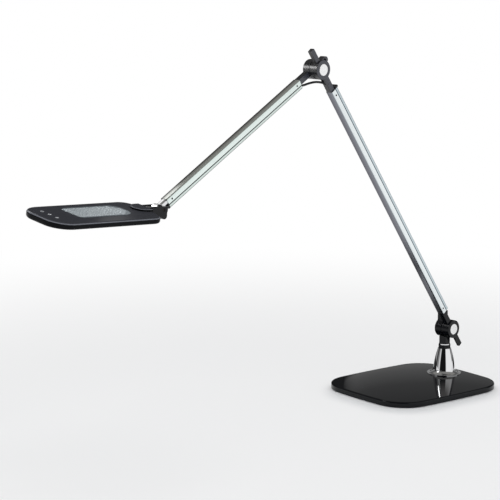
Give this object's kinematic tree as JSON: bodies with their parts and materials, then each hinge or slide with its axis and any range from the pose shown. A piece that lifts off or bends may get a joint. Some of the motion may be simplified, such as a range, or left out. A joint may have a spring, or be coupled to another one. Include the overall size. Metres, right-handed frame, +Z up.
{
  "type": "led desk lamp",
  "caption": "Swing-arm LED desk lamp with a flat weighted base, chrome swivel cone, folding aluminium arms on friction hinges and a thin tilting, twisting head with touch marks.",
  "frame": {"origin": "centre of the base's underside, on the table", "axes": "+Z up, -Y the way the lamp head points, +X the side the hinge caps face"},
  "size_m": [0.1796, 0.7431, 0.4711],
  "materials": {
    "gloss_black": "gloss moulded cover",
    "foam": "matte foam",
    "ballast": "plain rolled plate",
    "steel": "zinc-plated hardware",
    "screw_black": "black oxide",
    "chrome": "mirror plated",
    "satin_black": "satin black coating on a die-cast piece",
    "anodised": "anodised, fine lengthwise grain",
    "strip_grey": "satin channel strip",
    "bright_cap": "bright satin, blank",
    "cable_black": "matte jacket",
    "dark_plastic": "moulded",
    "head_charcoal": "satin charcoal moulding",
    "grid_grey": "fine grid",
    "mark_white": "printed pale marks",
    "board_green": "circuit board",
    "board_white": "white metal-core board",
    "phosphor": "LED phosphor",
    "opal": "opal sheet",
    "brass": "plain pin"
  },
  "bodies": {
    "base": {"base_pad": "foam", "base_weight": "ballast", "base_cover": "gloss_black", "base_screws": "steel", "dc_inlet": "dark_plastic", "dc_inlet_pin": "brass", "driver_board": "board_green", "base_lead": "cable_black", "swivel_cone": "chrome", "cone_screws": "steel", "swivel_bush": "dark_plastic"},
    "post": {"shoulder_post": "satin_black", "post_foot": "satin_black", "swivel_collar": "chrome", "swivel_washer": "steel", "swivel_nut": "steel", "shoulder_bolt": "steel", "shoulder_nut": "steel"},
    "lower_arm": {"lower_knuckle": "satin_black", "shoulder_friction_washer": "dark_plastic", "shoulder_spring_washer": "steel", "shoulder_cap": "bright_cap", "lower_arm_tube": "anodised", "lower_channel_strip": "strip_grey", "lower_arm_cable": "cable_black", "lower_channel_cap": "dark_plastic", "lower_arm_screws": "screw_black", "middle_knuckle": "satin_black", "elbow_friction_washer": "dark_plastic", "elbow_spring_washer": "steel", "elbow_cap": "bright_cap"},
    "upper_arm": {"upper_knuckle": "satin_black", "elbow_bolt": "steel", "elbow_nut": "steel", "upper_arm_tube": "anodised", "upper_channel_strip": "strip_grey", "upper_arm_cable": "cable_black", "upper_arm_screws": "screw_black", "channel_end_cap": "dark_plastic", "head_knuckle": "chrome", "elbow_cable": "cable_black"},
    "yoke": {"head_yoke": "satin_black", "tilt_pin": "steel", "tilt_washers": "dark_plastic", "twist_retainer": "steel"},
    "head": {"head_top_cover": "head_charcoal", "head_bottom_cover": "head_charcoal", "head_screws": "screw_black", "heat_panel": "grid_grey", "touch_marks": "mark_white", "touch_board": "board_green", "led_board": "board_white", "led_chips": "phosphor", "diffuser": "opal", "twist_bush": "dark_plastic", "hump_plug": "dark_plastic"}
  },
  "joints": [
    {"name": "base_swivel", "type": "hinge", "parent": "base", "child": "post", "pos_m": [0, 0.066, 0.05], "axis": [0, 0, 1], "range_deg": [-60, 60]},
    {"name": "shoulder_tilt", "type": "hinge", "parent": "post", "child": "lower_arm", "pos_m": [0, 0.066, 0.07225], "axis": [1, 0, 0], "range_deg": [-36, 6]},
    {"name": "elbow_fold", "type": "hinge", "parent": "lower_arm", "child": "upper_arm", "pos_m": [0, -0.20438, 0.4444], "axis": [1, 0, 0], "range_deg": [-60, 10], "deforming": ["elbow_cable"]},
    {"name": "head_tilt", "type": "hinge", "parent": "upper_arm", "child": "yoke", "pos_m": [-0.003, -0.46826, 0.29752], "axis": [1, 0, 0], "range_deg": [-45, 45]},
    {"name": "head_twist", "type": "hinge", "parent": "yoke", "child": "head", "pos_m": [-0.003, -0.46835, 0.29618], "axis": [0, 0.998, -0.0628], "range_deg": [-60, 60]}
  ]
}
